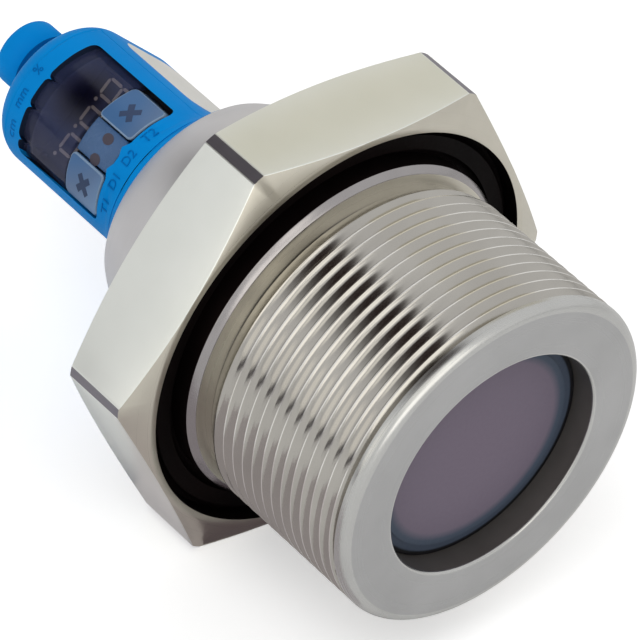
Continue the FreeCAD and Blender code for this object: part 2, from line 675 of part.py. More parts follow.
def make_key_carrier():
    """Black frame on the cover's ledge: it carries lens and light guide and lets the stems through."""
    body = new_body("key_carrier", PLACE_HEAD)
    block(body, "plate", "YZ_Plane", "well_floor", "carrier_top - well_floor",
          "window_low + lens_gap", "window_front + 1.3",
          "window_high - lens_gap", "window_rear - cusp_round - 2 * lens_gap")
    rounded(body, "corners", upright, "window_round")
    for label, centre in KEY_CENTRE.items():
        sketch = new_sketch(body, f"{label}_hole", "YZ_Plane", "carrier_top")
        circle(sketch, centre, KEY_ROW, "stem_hole")
        extruded(body, f"{label}_cut", sketch, "carrier_top", "Pocket")
    block(body, "module_cut", "YZ_Plane", "carrier_top", "carrier_top",
          "module_low", "module_front", "module_high", "module_rear", "Pocket")
    sketch = new_sketch(body, "lamp_holes", "YZ_Plane", "carrier_top")
    circle(sketch, "lamp_left", "lamp_row", "lamp_radius + 0.1")
    circle(sketch, "lamp_right", "lamp_row", "lamp_radius + 0.1")
    for cusp in CUSPS.values():
        circle(sketch, cusp, "unit_row", "unit_half")
    extruded(body, "lamp_cut", sketch, "carrier_top", "Pocket")


def make_electronics():
    """Board, what is soldered on it, and the link to the plug."""
    back = "(board_top - board_thick)"
    board = new_body("main_board", PLACE_HEAD)
    block(board, "board", "YZ_Plane", back, "board_thick",
          "-cavity_half", "board_front", "cavity_half", "board_rear")
    module = new_body("digit_display", PLACE_HEAD)
    block(module, "module", "YZ_Plane", "board_top", "module_top - board_top",
          "module_low + 0.1", "module_front + 0.1", "module_high - 0.1", "module_rear - 0.1")
    status = new_body("status_leds", PLACE_HEAD)
    sketch = new_sketch(status, "sections", "YZ_Plane", "board_top")
    circle(sketch, "lamp_left", "lamp_row", "lamp_radius")
    circle(sketch, "lamp_right", "lamp_row", "lamp_radius")
    item = extruded(status, "lamps", sketch, "carrier_top - board_top - 0.2")
    item.AllowMultiFace = True
    switches = new_body("key_switches", PLACE_HEAD)
    sketch = new_sketch(switches, "sections", "YZ_Plane", "board_top")
    for centre in KEY_CENTRE.values():
        rectangle(sketch, f"{centre} - switch_half", f"{KEY_ROW} - switch_half",
                  f"{centre} + switch_half", f"{KEY_ROW} + switch_half")
    extruded(switches, "switches", sketch, "switch_top - board_top")
    units = new_body("unit_leds", PLACE_HEAD)
    sketch = new_sketch(units, "sections", "YZ_Plane", "board_top")
    for cusp in CUSPS.values():
        rectangle(sketch, f"{cusp} - unit_half", "unit_row - unit_half",
                  f"{cusp} + unit_half", "unit_row + unit_half")
    extruded(units, "lamps", sketch, "well_floor - board_top - 0.3")
    chip = new_body("processor_chip", PLACE_HEAD)
    block(chip, "package", "YZ_Plane", back, "chip_thick", "-chip_half", "board_front + 1",
          "chip_half", "board_front + 1 + 2 * chip_half", backwards=True)
    core = new_body("drive_transformer", PLACE_HEAD)
    block(core, "core", "YZ_Plane", back, "core_tall", "-core_half", "board_rear - 2 - 2 * core_half",
          "core_half", "board_rear - 2", backwards=True)


def make_plug():
    """Insulating insert with five contact pins, and the small board that links them."""
    link = new_body("link_board", PLACE_HEAD)
    sketch = new_sketch(link, "section", "XY_Plane", "board_rear")
    rectangle(sketch, "1 - cavity_back", "-cavity_half", "board_top", "cavity_half")
    contact_circles(sketch)
    extruded(link, "board", sketch, "cavity_rear - board_rear")
    insert = new_body("plug_insert", PLACE_HEAD)
    sketch = new_sketch(insert, "section", "XY_Plane", "cavity_rear")
    circle(sketch, "0", "0", "socket_radius")
    contact_circles(sketch)
    extruded(insert, "insert", sketch, "insert_face - cavity_rear")
    pins = new_body("contact_pins", PLACE_HEAD)
    sketch = new_sketch(pins, "sections", "XY_Plane", "board_rear")
    contact_circles(sketch)
    extruded(pins, "pins", sketch, "pin_end - board_rear")


def contact_circles(sketch):
    circle(sketch, "0", "0", "pin_radius")
    for angle in (45, 135, 225, 315):
        circle(sketch, f"pin_circle * cos({angle})", f"pin_circle * sin({angle})", "pin_radius")


make_process_body()
make_neck_dome()
make_process_seal()
make_transducer()
make_clamp()
make_head_housing()
make_display_bezel()
seal_cord("head_o_ring", PLACE_HEAD, "spigot_bore - cord_radius", "foot_groove + groove_width / 2")
make_display_window()
make_key("key_t1", "left_key_low", "left_key_high")
make_key("key_t2", "right_key_low", "right_key_high")
make_key_bridge()
make_key_carrier()
make_electronics()
make_plug()
doc.recompute()

# Every object has to be sound before anything is written
for item in doc.Objects:
    if {"Invalid", "Error"} & set(item.State):
        raise RuntimeError(f"{item.Label} failed: {item.State}")
bodies = [item for item in doc.Objects if item.TypeId == "PartDesign::Body"]
os.makedirs("parts", exist_ok=True)
for body in bodies:
    if body.Shape.isNull() or not body.Shape.isValid():
        raise RuntimeError(f"{body.Label} has no sound shape")
    body.Shape.exportStep(f"parts/{body.Label}.step")
    print(body.Label, len(body.Shape.Solids), round(body.Shape.Volume, 1))
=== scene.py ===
import math

import bmesh
import bpy
from mathutils import Matrix, Vector


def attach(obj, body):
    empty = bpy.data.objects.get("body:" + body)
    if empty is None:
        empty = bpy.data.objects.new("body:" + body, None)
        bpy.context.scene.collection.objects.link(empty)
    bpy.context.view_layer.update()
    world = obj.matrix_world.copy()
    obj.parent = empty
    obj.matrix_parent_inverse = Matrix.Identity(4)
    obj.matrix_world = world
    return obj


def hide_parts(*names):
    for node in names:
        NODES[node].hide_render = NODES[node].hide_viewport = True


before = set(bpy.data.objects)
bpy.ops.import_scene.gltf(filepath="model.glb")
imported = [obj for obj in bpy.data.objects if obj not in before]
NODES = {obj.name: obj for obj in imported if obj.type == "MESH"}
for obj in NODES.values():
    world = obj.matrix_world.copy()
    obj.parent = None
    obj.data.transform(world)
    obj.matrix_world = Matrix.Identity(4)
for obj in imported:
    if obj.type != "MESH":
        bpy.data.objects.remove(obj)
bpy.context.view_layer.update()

MM = 0.001

# Hexagon, turned from round bar and milled, in millimetres; z runs from the sensing face along the axis
HEX_FLAT = 37.5
BAR_STOCK = 42.72
SKIN_DEPTH = 0.005
BAR_RADIUS = BAR_STOCK - SKIN_DEPTH
CORNER_FRONT = 38.6
CORNER_REAR = 50.3
FRONT_RADIUS = 37.3
REAR_RADIUS = 37.0
FRONT_SLOPE = math.radians(17.4)
REAR_SLOPE = math.radians(18.5)
HEX_FRONT = CORNER_FRONT - (BAR_STOCK - FRONT_RADIUS) * math.tan(FRONT_SLOPE)
HEX_REAR = CORNER_REAR + (BAR_STOCK - REAR_RADIUS) * math.tan(REAR_SLOPE)

# Seal recess in the hexagon's front, and the hub inside it
RECESS_RADIUS = 36.2
RECESS_FLOOR = 41.0
HUB_RADIUS = 30.9
HUB_FRONT = 35.2
HUB_BEVEL = 1.0

# Threaded sleeve
BORE = 20.1
SLEEVE_BORE = 22.0
SLEEVE_SHOULDER = 9.0
RIM_ROUND = 1.8
BORE_ROUND = 0.45
EDGE_ROUND = 0.12
FLAT_EDGE_ROUND = 0.14
CREST = 29.8
CREST_HALF = 0.11
THREAD_ROOT = 28.33
THREAD_CORE = 28.15
THREAD_PITCH = 2.309
THREAD_FRONT = 1.95
THREAD_REAR = 33.5
THREAD_TURNS = 17
THREAD_PHASE = -0.309 - THREAD_PITCH * 2
RUN_OUT_SLOPE = 0.62
SLEEVE_RADIUS = 28.2
RELIEF_RADIUS = 28.1
RELIEF_FRONT = 32.6
RELIEF_FLOOR = 33.6

# Domed neck
DOME_RADIUS = 23.39
DOME_CENTRE = 58.42
DOME_FOOT = math.sqrt(DOME_RADIUS ** 2 - (HEX_REAR - DOME_CENTRE) ** 2)
NECK_RADIUS = 19.4
NECK_END = DOME_CENTRE + math.sqrt(DOME_RADIUS ** 2 - NECK_RADIUS ** 2)
NECK_ROUND = 0.25
SPIGOT_BORE = 8.0
SPIGOT_SEAT = 65.0
NECK_HOLE = 2.6
NECK_FRONT = 41.2

# The row's origin lies on the axis at the first turn of the thread, and the part rests on one flat
THREAD_START = 2.5
FLOOR_LEVEL = -HEX_FLAT * MM

# The head looks out along u, v runs across the display, z runs on to the plug
DISPLAY_TURN = math.radians(-49.55)
ACROSS_U = Vector((math.sin(DISPLAY_TURN), 0, math.cos(DISPLAY_TURN)))
ACROSS_V = Vector((math.cos(DISPLAY_TURN), 0, -math.sin(DISPLAY_TURN)))

# Curves of the head's front about one centre on u, and the flat face of the display module
BEND_CENTRE = 6.5
HEAD_BEND = 12.85
KEY_BEND = 12.5
LENS_BEND = 12.3
WALL_BEND = 11.9
BRIDGE_BEND = 11.7
DISPLAY_FACE = 12.84
DIGIT_ROW = 88.3

# Undercut of the plug collar, which is painted darker blue as painted shade
GROOVE_FRONT = 111.0
GROOVE_REAR = 112.6
GROOVE_INSIDE = 4.6

# Thickness of the marks and how far they stand off, in millimetres
LEGEND_TALL = 2.3
LEGEND_RAISED = 0.05
MARK_LIFT = 0.02
MARK_THICK = 0.03
LAMP_LIFT = 0.03
LAMP_THICK = 0.04
PLATE_THICK = 0.08

# Points nearer than this are one point, or lie on a cutting plane, in metres
WELD = 2e-7
ON_PLANE = 1e-8

# The same in millimetres, in the flat drawing of a mark
FLAT_WELD = 1e-4
FLAT_ON_PLANE = 1e-5

# Steps in one turn of a round form and of the thread, and along the dome
ROUND_STEPS = 180
THREAD_STEPS = 120
DOME_STEPS = 28

# Angles above which an edge stays sharp, in degrees
MARK_CREASE = 35.0
STEEL_CREASE = 30.0
SKIN_CREASE = 28.0

# Brightness of the white studio: as light on the part, and as it is seen or mirrored
STUDIO_LIGHT = 0.5
STUDIO_SEEN = 0.75


def head_place(u, v, z):
    """A point of the head, given in millimetres, in the row frame."""
    return (ACROSS_U * u + ACROSS_V * v + Vector((0, z - THREAD_START, 0))) * MM


def bent_place(v, z, bend, lift=0.0):
    """A point over the curved front of the head, at a height above a curve of that radius."""
    angle = math.asin(max(-1.0, min(1.0, v / bend)))
    reach = bend + lift
    return head_place(BEND_CENTRE + reach * math.cos(angle), reach * math.sin(angle), z)


def from_bend(point):
    """The way from the line that the head's front bends about to a point."""
    out = point - head_place(BEND_CENTRE, 0, 0)
    out.y = 0
    return out


def axis_reach(point):
    """Distance of a point from the sensor's axis, in millimetres."""
    return math.hypot(point.x, point.z) / MM


def axis_place(point):
    """Place of a point along the axis, in millimetres from the sensing face."""
    return point.y / MM + THREAD_START


# Finishes

def new_finish(name, colour, roughness, metallic=0.0):
    """A shader with its fixed values set on its own sockets."""
    finish = bpy.data.materials.new(name)
    finish.use_nodes = True
    shader = finish.node_tree.nodes["Principled BSDF"]
    shader.inputs["Base Color"].default_value = (*colour, 1)
    shader.inputs["Roughness"].default_value = roughness
    shader.inputs["Metallic"].default_value = metallic
    finish.diffuse_color = (*colour, 1)
    return finish, finish.node_tree.nodes, finish.node_tree.links, shader


def object_place(nodes):
    """Place on the object, in its own frame."""
    return nodes.new("ShaderNodeTexCoord").outputs["Object"]


def cloudy(nodes, links, place, scale, detail=3.0, rough=0.55):
    """Soft random patches."""
    noise = nodes.new("ShaderNodeTexNoise")
    noise.inputs["Scale"].default_value = scale
    noise.inputs["Detail"].default_value = detail
    noise.inputs["Roughness"].default_value = rough
    links.new(place, noise.inputs["Vector"])
    return noise.outputs["Fac"]


def two_tone(nodes, links, factor, dark, light):
    """A colour between dark and light that follows the patches."""
    low, high = 0.3, 0.7
    ramp = nodes.new("ShaderNodeValToRGB")
    ramp.color_ramp.elements[0].position = low
    ramp.color_ramp.elements[0].color = (*dark, 1)
    ramp.color_ramp.elements[1].position = high
    ramp.color_ramp.elements[1].color = (*light, 1)
    links.new(factor, ramp.inputs["Fac"])
    return ramp.outputs["Color"]


def spread(nodes, links, factor, low, high):
    """A value between low and high that follows the patches."""
    weakest, strongest = 0.25, 0.75
    scale = nodes.new("ShaderNodeMapRange")
    scale.inputs["From Min"].default_value = weakest
    scale.inputs["From Max"].default_value = strongest
    scale.inputs["To Min"].default_value = low
    scale.inputs["To Max"].default_value = high
    links.new(factor, scale.inputs["Value"])
    return scale.outputs["Result"]


def relief(nodes, links, shader, factor, strength, depth):
    """Fine relief that follows the patches; depth in metres."""
    bump = nodes.new("ShaderNodeBump")
    bump.inputs["Strength"].default_value = strength
    bump.inputs["Distance"].default_value = depth
    links.new(factor, bump.inputs["Height"])
    links.new(bump.outputs["Normal"], shader.inputs["Normal"])


def colour_ramp(nodes, links, value, steps, unit=1.0):
    """Colours along a value; steps are pairs of value, in units, and colour, lowest first."""
    start, end = steps[0][0], steps[-1][0]
    scale = nodes.new("ShaderNodeMapRange")
    scale.inputs["From Min"].default_value = start * unit
    scale.inputs["From Max"].default_value = end * unit
    links.new(value, scale.inputs["Value"])
    ramp = nodes.new("ShaderNodeValToRGB")
    while len(ramp.color_ramp.elements) < len(steps):
        ramp.color_ramp.elements.new(0.5)
    for element, (place, colour) in zip(ramp.color_ramp.elements, steps):
        element.position = (place - start) / (end - start)
        element.color = (*colour, 1)
    links.new(scale.outputs["Result"], ramp.inputs["Fac"])
    return ramp


def axis_distance(nodes, links):
    """Distance from the axis, and place along it."""
    split = nodes.new("ShaderNodeSeparateXYZ")
    links.new(object_place(nodes), split.inputs["Vector"])
    flat = nodes.new("ShaderNodeCombineXYZ")
    links.new(split.outputs["X"], flat.inputs["X"])
    links.new(split.outputs["Z"], flat.inputs["Y"])
    reach = nodes.new("ShaderNodeVectorMath")
    reach.operation = "LENGTH"
    links.new(flat.outputs["Vector"], reach.inputs[0])
    return reach.outputs["Value"], split.outputs["Y"]


def turning_marks(nodes, links, fine):
    """Fine grooves that follow the turned rings."""
    reach, along = axis_distance(nodes, links)
    ring = nodes.new("ShaderNodeCombineXYZ")
    links.new(reach, ring.inputs["X"])
    links.new(along, ring.inputs["Y"])
    return cloudy(nodes, links, ring.outputs["Vector"], fine, detail=2.0, rough=0.6)


def turned_steel(name, dark, light, rough_low, rough_high, fine=9000.0, cut=0.12, metallic=1.0):
    """Turned metal: fine rings, with a slightly uneven tone."""
    groove_depth, stain_scale = 0.00004, 70.0
    finish, nodes, links, shader = new_finish(name, light, rough_high, metallic)
    grooves = turning_marks(nodes, links, fine)
    stain = cloudy(nodes, links, object_place(nodes), stain_scale)
    links.new(two_tone(nodes, links, stain, dark, light), shader.inputs["Base Color"])
    links.new(spread(nodes, links, grooves, rough_low, rough_high), shader.inputs["Roughness"])
    relief(nodes, links, shader, grooves, cut, groove_depth)
    return finish


def milled_steel(name, dark, light, rough_low, rough_high):
    """Flats with fine straight cutter marks."""
    mark_depth, mark_strength, stain_scale = 0.00003, 0.08, 45.0
    mark_stretch, mark_scale = (900, 18000, 900), 0.35
    finish, nodes, links, shader = new_finish(name, light, rough_high, 1.0)
    stretch = nodes.new("ShaderNodeMapping")
    stretch.inputs["Scale"].default_value = mark_stretch
    links.new(object_place(nodes), stretch.inputs["Vector"])
    marks = cloudy(nodes, links, stretch.outputs["Vector"], mark_scale, detail=2.0)
    stain = cloudy(nodes, links, object_place(nodes), stain_scale)
    links.new(two_tone(nodes, links, stain, dark, light), shader.inputs["Base Color"])
    links.new(spread(nodes, links, marks, rough_low, rough_high), shader.inputs["Roughness"])
    relief(nodes, links, shader, marks, mark_strength, mark_depth)
    return finish


def moulded(name, dark, light, rough_low, rough_high, grain=2600.0, depth=0.00003, strength=0.25,
            gloss=0.4):
    """Moulded plastic: fine grain, slightly uneven colour and gloss."""
    patch_scale = 60.0
    finish, nodes, links, shader = new_finish(name, light, rough_high)
    shader.inputs["Specular IOR Level"].default_value = gloss
    place = object_place(nodes)
    patch = cloudy(nodes, links, place, patch_scale)
    fine = cloudy(nodes, links, place, grain, detail=2.0)
    links.new(two_tone(nodes, links, patch, dark, light), shader.inputs["Base Color"])
    links.new(spread(nodes, links, fine, rough_low, rough_high), shader.inputs["Roughness"])
    relief(nodes, links, shader, fine, strength, depth)
    return finish


def clear_plastic(name, dark, light, rough_low, rough_high, cover):
    """Tinted plastic that lets a part of the view through."""
    finish = moulded(name, dark, light, rough_low, rough_high, grain=900.0, depth=0.00001, strength=0.01)
    finish.node_tree.nodes["Principled BSDF"].inputs["Alpha"].default_value = cover
    return finish


def colour_by_distance(finish, distance, steps):
    """Let a finish change its colour with a distance, given in steps of millimetres."""
    nodes, links = finish.node_tree.nodes, finish.node_tree.links
    ramp = colour_ramp(nodes, links, distance, steps, MM)
    links.new(ramp.outputs["Color"], nodes["Principled BSDF"].inputs["Base Color"])


def ringed_plastic(name, rough_low, rough_high, gloss, steps):
    """Plastic of a round piece, its colour changing with the distance from the axis."""
    finish = moulded(name, steps[0][1], steps[0][1], rough_low, rough_high, grain=1500.0, gloss=gloss)
    reach = axis_distance(finish.node_tree.nodes, finish.node_tree.links)[0]
    colour_by_distance(finish, reach, steps)
    return finish


def plastic_with_painted_light(name, spot, cover, rough_low, rough_high, steps):
    """Tinted plastic with painted light: darkest over one spot of the display, lighter away from it."""
    finish = clear_plastic(name, steps[0][1], steps[0][1], rough_low, rough_high, cover)
    nodes, links = finish.node_tree.nodes, finish.node_tree.links
    away = nodes.new("ShaderNodeVectorMath")
    away.operation = "DISTANCE"
    away.inputs[1].default_value = spot
    links.new(object_place(nodes), away.inputs[0])
    colour_by_distance(finish, away.outputs["Value"], steps)
    return finish


# Steels
TURNED = turned_steel("turned_steel", (0.63, 0.60, 0.52), (0.71, 0.675, 0.585), 0.26, 0.38)
FACED = turned_steel("faced_steel", (0.47, 0.47, 0.47), (0.53, 0.53, 0.53), 0.26, 0.36, fine=7000.0)
# The rounded edges of the rim and bore, a lighter copy of the faced steel: painted highlight
EDGE_HIGHLIGHT_STEEL = turned_steel("edge_painted_highlight", (0.57, 0.57, 0.555), (0.63, 0.63, 0.615), 0.22, 0.32,
                          fine=7000.0, cut=0.06)
HUB_STEEL = turned_steel("hub_steel", (0.37, 0.35, 0.35), (0.43, 0.41, 0.41), 0.18, 0.26)
CUT_THREAD = turned_steel("thread_steel", (0.47, 0.45, 0.415), (0.54, 0.52, 0.48), 0.14, 0.20,
                          fine=12000.0, cut=0.04)
# Thread crests in a much lighter copy of the thread's steel: painted highlight
CREST_HIGHLIGHT_STEEL = turned_steel("crest_painted_highlight", (0.88, 0.86, 0.82), (0.95, 0.93, 0.89), 0.16, 0.24,
                           fine=12000.0, cut=0.04)
MILLED = milled_steel("milled_steel", (0.90, 0.92, 0.87), (0.97, 0.985, 0.94), 0.30, 0.42)
# The bore wall, painted far darker than the steel it is cut in: painted shade inside the bore
PAINTED_BORE_SHADE = turned_steel("bore_painted_shade", (0.085, 0.077, 0.072), (0.125, 0.114, 0.106), 0.36, 0.48, metallic=0.5)
BAR_SKIN = turned_steel("bar_skin", (0.25, 0.235, 0.265), (0.29, 0.275, 0.305), 0.38, 0.48)
# Walls of the seal recess, painted near black: painted shade inside the recess
PAINTED_RECESS_SHADE = turned_steel("recess_painted_shade", (0.010, 0.006, 0.006), (0.022, 0.014, 0.014), 0.45, 0.6)
NECK_STEEL = turned_steel("neck_steel", (0.70, 0.69, 0.70), (0.77, 0.76, 0.77), 0.42, 0.54,
                          fine=5000.0, cut=0.1)

# Plastics and rubber
HEAD_BLUE = moulded("head_blue", (0.0, 0.245, 0.68), (0.0, 0.27, 0.74), 0.42, 0.54, gloss=0.05)
# Darker blue in the plug collar's undercut: painted shade in the groove
GROOVE_SHADE_BLUE = moulded("groove_painted_shade", (0.0, 0.085, 0.30), (0.0, 0.105, 0.36), 0.46, 0.58, gloss=0.05)
LEGEND_BLUE = moulded("legend_blue", (0.0, 0.150, 0.47), (0.0, 0.170, 0.52), 0.46, 0.58, gloss=0.05)
SEAL = moulded("seal_rubber", (0.002, 0.001, 0.001), (0.006, 0.003, 0.003), 0.5, 0.65,
               grain=1800.0, gloss=0.05)
FACE_DISC = ringed_plastic("sensor_face", 0.45, 0.6, 0.2, [
    (0.0, (0.206, 0.166, 0.222)), (15.8, (0.206, 0.170, 0.226)), (17.2, (0.080, 0.105, 0.150)),
    (20.0, (0.075, 0.100, 0.145))])
# The face ring in its own blue-grey, turning black at its outer edge: a painted shadow line in the gap to the
# bore
SOFT_RING_WITH_SHADOW_LINE = ringed_plastic("soft_ring", 0.40, 0.55, 0.2, [
    (0.0, (0.075, 0.100, 0.145)), (19.1, (0.070, 0.092, 0.135)), (19.4, (0.003, 0.003, 0.005)),
    (20.0, (0.003, 0.003, 0.005))])

# Lens, keys and light guide; lens and keys carry painted light, fading from two spots over the display
KEY_SHADE_SPOT = bent_place(3.0, 93.5, LENS_BEND)
LENS_REFLECTION_SPOT = bent_place(3.35, 89.6, LENS_BEND)
# The lens is painted near black over one spot and lighter away from it: a painted dark reflection
SMOKED_LENS_REFLECTION = plastic_with_painted_light("smoked_lens", LENS_REFLECTION_SPOT, 0.40, 0.05, 0.10, [
    (0.0, (0.001, 0.001, 0.010)), (1.8, (0.002, 0.002, 0.014)), (3.8, (0.026, 0.028, 0.062)),
    (6.8, (0.048, 0.062, 0.150)), (16.0, (0.078, 0.080, 0.145))])
# The keys are painted darker near one spot over the display and lighter away from it, so that the left key
# comes out lighter: painted light and shade
KEY_CLEAR_PAINTED_LIGHT = plastic_with_painted_light("key_clear", KEY_SHADE_SPOT, 0.94, 0.31, 0.35, [
    (0.0, (0.055, 0.150, 0.340)), (13.0, (0.062, 0.160, 0.350)), (16.7, (0.106, 0.187, 0.345)),
    (20.5, (0.160, 0.290, 0.500))])
# Lighter clear plastic on the keys' rounded edges: painted highlight
KEY_EDGE_HIGHLIGHT = clear_plastic("key_edge", (0.22, 0.33, 0.48), (0.28, 0.40, 0.56), 0.24, 0.34, 0.96)
BRIDGE_CLEAR = clear_plastic("bridge_clear", (0.065, 0.140, 0.290), (0.088, 0.180, 0.370), 0.25, 0.29, 0.88)

# Marks, plate and window
MARK_SLATE = moulded("mark_slate", (0.040, 0.064, 0.130), (0.052, 0.080, 0.158), 0.45, 0.6, gloss=0.15)
SEGMENT_BEIGE = moulded("segment_beige", (0.78, 0.64, 0.54), (0.88, 0.74, 0.63), 0.45, 0.6)
LAMP_BROWN = moulded("lamp_brown", (0.068, 0.060, 0.080), (0.088, 0.076, 0.100), 0.35, 0.5, gloss=0.2)
PLATE_PALE = moulded("plate_pale", (0.70, 0.69, 0.65), (0.76, 0.75, 0.71), 0.35, 0.48, grain=1600.0)
FRAME_BLACK = moulded("frame_black", (0.006, 0.006, 0.009), (0.012, 0.011, 0.016), 0.4, 0.55, gloss=0.15)
WINDOW_SHADE = moulded("window_shade", (0.002, 0.007, 0.022), (0.004, 0.011, 0.032), 0.45, 0.6, gloss=0.1)

# Pieces inside
CUP_PLASTIC = moulded("cup_plastic", (0.045, 0.045, 0.05), (0.055, 0.055, 0.06), 0.45, 0.6)
CERAMIC = moulded("ceramic", (0.55, 0.50, 0.42), (0.62, 0.57, 0.48), 0.5, 0.7)
DAMPING_FOAM = moulded("damping_foam", (0.03, 0.03, 0.035), (0.05, 0.05, 0.055), 0.7, 0.9,
                       grain=700.0, depth=0.0002, strength=0.5)
PLAIN_STEEL = turned_steel("plain_steel", (0.42, 0.41, 0.40), (0.50, 0.49, 0.48), 0.35, 0.5)
LEAD_SLEEVE = moulded("lead_sleeve", (0.018, 0.018, 0.018), (0.026, 0.026, 0.026), 0.45, 0.6)
BOARD_GREEN = moulded("board_green", (0.01, 0.09, 0.03), (0.015, 0.13, 0.045), 0.35, 0.5)
FERRITE = moulded("ferrite", (0.035, 0.033, 0.032), (0.055, 0.052, 0.05), 0.55, 0.75)
BRASS = turned_steel("gilt_brass", (0.62, 0.45, 0.15), (0.72, 0.53, 0.2), 0.2, 0.32)

# Finish of every solid that stays as it was modelled
CARRIED_OVER = {
    "matching_layer": FACE_DISC, "face_ring": SOFT_RING_WITH_SHADOW_LINE, "process_seal": SEAL,
    "transducer_cup": CUP_PLASTIC, "piezo_disc": CERAMIC, "damping_block": DAMPING_FOAM, "cup_o_ring": SEAL,
    "clamp_washer": PLAIN_STEEL, "clamp_nut": PLAIN_STEEL, "sensor_lead": LEAD_SLEEVE, "head_o_ring": SEAL,
    "key_carrier": FRAME_BLACK, "digit_display": FRAME_BLACK, "status_leds": LAMP_BROWN,
    "unit_leds": LAMP_BROWN, "key_switches": FRAME_BLACK, "main_board": BOARD_GREEN,
    "processor_chip": FRAME_BLACK, "drive_transformer": FERRITE, "link_board": BOARD_GREEN,
    "plug_insert": FRAME_BLACK, "contact_pins": BRASS,
}
for node, finish in CARRIED_OVER.items():
    NODES[node].data.materials.clear()
    NODES[node].data.materials.append(finish)


# Making pieces

def settle(bm, name, finishes, body, crease=MARK_CREASE):
    """Turn a bmesh into a piece that rides on its body."""
    mesh = bpy.data.meshes.new(name)
    bm.to_mesh(mesh)
    bm.free()
    for finish in finishes:
        mesh.materials.append(finish)
    for face in mesh.polygons:
        face.use_smooth = True
    if crease is not None:
        mesh.set_sharp_from_angle(angle=math.radians(crease))
    piece = bpy.data.objects.new(name, mesh)
    bpy.context.scene.collection.objects.link(piece)
    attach(piece, body)
    return piece


def everything(bm):
    """All points, edges and faces."""
    return bm.verts[:] + bm.edges[:] + bm.faces[:]


def only_verts(items):
    """The points among the items."""
    return [item for item in items if isinstance(item, bmesh.types.BMVert)]


def slanted(degrees):
    """A turn within the flat drawing of a mark."""
    return Matrix.Rotation(math.radians(degrees), 3, "Z")


def true_bend(piece):
    """Shade the faces of a piece that lie on a curve about the head's bend as that very curve."""
    uneven, innermost, least_facing = 0.02 * MM, 9 * MM, 0.8
    mesh = piece.data
    normals = [Vector(corner.vector) for corner in mesh.corner_normals]
    for face in mesh.polygons:
        outs = [from_bend(mesh.vertices[index].co) for index in face.vertices]
        reach = [out.length for out in outs]
        facing = face.normal.dot(sum(outs, Vector()).normalized())
        round_face = max(reach) - min(reach) < uneven and min(reach) > innermost
        if round_face and abs(facing) > least_facing:
            for corner, out in zip(face.loop_indices, outs):
                normals[corner] = out.normalized() * math.copysign(1, facing)
    mesh.normals_split_custom_set(normals)


def window_wall(face):
    """Walls of the window, nearer the head's bend than its outside."""
    return from_bend(face.calc_center_median()).length < WALL_BEND * MM


def plug_groove_shade(face):
    """Undercut of the plug collar, which gets painted shade."""
    centre = face.calc_center_median()
    return GROOVE_FRONT < axis_place(centre) < GROOVE_REAR and axis_reach(centre) > GROOVE_INSIDE


def highlit_key_edge(face):
    """Rounded edges of a key, neither its top nor its sides; they get a painted highlight."""
    side, top = 0.12, 0.97
    return side < face.normal.dot(from_bend(face.calc_center_median()).normalized()) < top


def smooth_solid(node, finishes, body, second=None):
    """A merged, smoothly shaded copy of a solid; the faces that second picks get the second finish."""
    bm = bmesh.new()
    bm.from_mesh(NODES[node].data)
    bmesh.ops.remove_doubles(bm, verts=bm.verts, dist=WELD)
    for face in bm.faces:
        face.material_index = 1 if second is not None and second(face) else 0
    piece = settle(bm, f"{node}_skin", finishes, body, SKIN_CREASE)
    true_bend(piece)
    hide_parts(node)


def chain(bm, corners):
    """A line of corners (radius, z) in millimetres, in the plane of the axis."""
    verts = [bm.verts.new((r * MM, (z - THREAD_START) * MM, 0)) for r, z in corners]
    for pair in zip(verts, verts[1:]):
        bm.edges.new(pair)
    return verts


def turn(bm):
    """Turn the whole outline about the axis and close its seam."""
    bmesh.ops.spin(bm, geom=bm.verts[:] + bm.edges[:], cent=(0, 0, 0), axis=(0, 1, 0),
                   angle=2 * math.pi, steps=ROUND_STEPS, use_merge=True)
    bmesh.ops.remove_doubles(bm, verts=bm.verts, dist=WELD / 2)
    bmesh.ops.recalc_face_normals(bm, faces=bm.faces)


def soften(bm, verts, width, segments):
    """Round corners of an outline."""
    bmesh.ops.bevel(bm, geom=verts, offset=width * MM, affect="VERTICES", segments=segments,
                    profile=0.5, material=-1)


# Steel body, neck and thread

def steel_finish(centre):
    """Finish of a turned face, told by where it lies."""
    near, flat, bar_band = 0.05, 0.01, 0.2
    reach, z = axis_reach(centre), axis_place(centre)
    if reach > BAR_RADIUS - bar_band:
        return BAR_SKIN
    # The bore wall gets painted shade
    if reach < SLEEVE_BORE + near and z > BORE_ROUND - near:
        return PAINTED_BORE_SHADE
    if z < flat:
        return FACED
    # Rounded edges of the rim and bore get the painted highlight
    if z < THREAD_FRONT - near:
        return EDGE_HIGHLIGHT_STEEL
    if z < HUB_FRONT - near:
        return CUT_THREAD
    if z < HUB_FRONT + HUB_BEVEL + near and reach > HUB_RADIUS - HUB_BEVEL - EDGE_ROUND:
        return HUB_STEEL
    # The walls of the seal recess get painted shade
    if reach < RECESS_RADIUS + near and HUB_FRONT + HUB_BEVEL - near < z < RECESS_FLOOR + near:
        return PAINTED_RECESS_SHADE
    return TURNED


